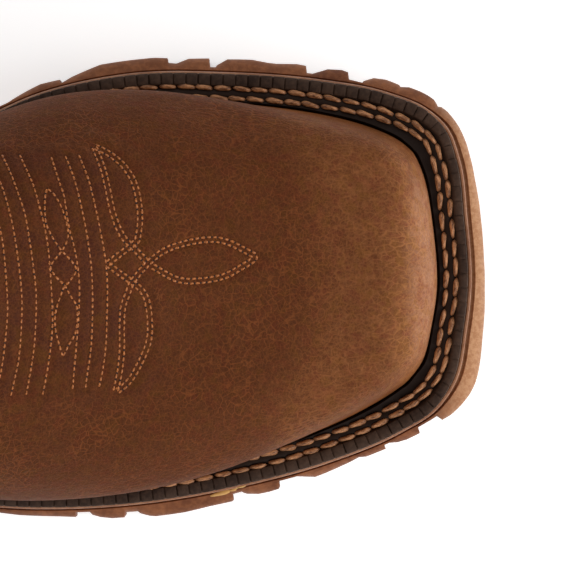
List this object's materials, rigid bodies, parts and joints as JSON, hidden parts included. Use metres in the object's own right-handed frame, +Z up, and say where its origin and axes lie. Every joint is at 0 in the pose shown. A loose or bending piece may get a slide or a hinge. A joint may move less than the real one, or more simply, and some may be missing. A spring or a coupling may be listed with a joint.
{
  "type": "western work boot",
  "caption": "Pull-on western work boot for the right foot: broad square toe, ribbed stitched welt, lugged rubber sole, block heel and a scalloped shaft with pull loops.",
  "frame": {"origin": "on the floor, under the middle of the sole", "axes": "+X towards the toe, +Y towards the big-toe (medial) side, +Z up"},
  "size_m": [0.3073, 0.1185, 0.3324],
  "materials": {
    "sole_rubber": "matte brown rubber",
    "welt_rubber": "dark brown ribbed rubber",
    "insole_leather": "plain tan leather",
    "upper_leather": "oiled pebbled brown leather",
    "shaft_leather": "oiled smooth brown leather"
  },
  "bodies": {
    "root": {"outsole": "sole_rubber", "heel": "sole_rubber", "midsole": "sole_rubber", "welt": "welt_rubber", "insole": "insole_leather", "upper": "upper_leather", "shaft": "shaft_leather", "heel_counter": "upper_leather", "side_seam_medial": "upper_leather", "side_seam_lateral": "upper_leather", "pull_strap_medial": "shaft_leather", "pull_strap_lateral": "shaft_leather"}
  },
  "joints": []
}
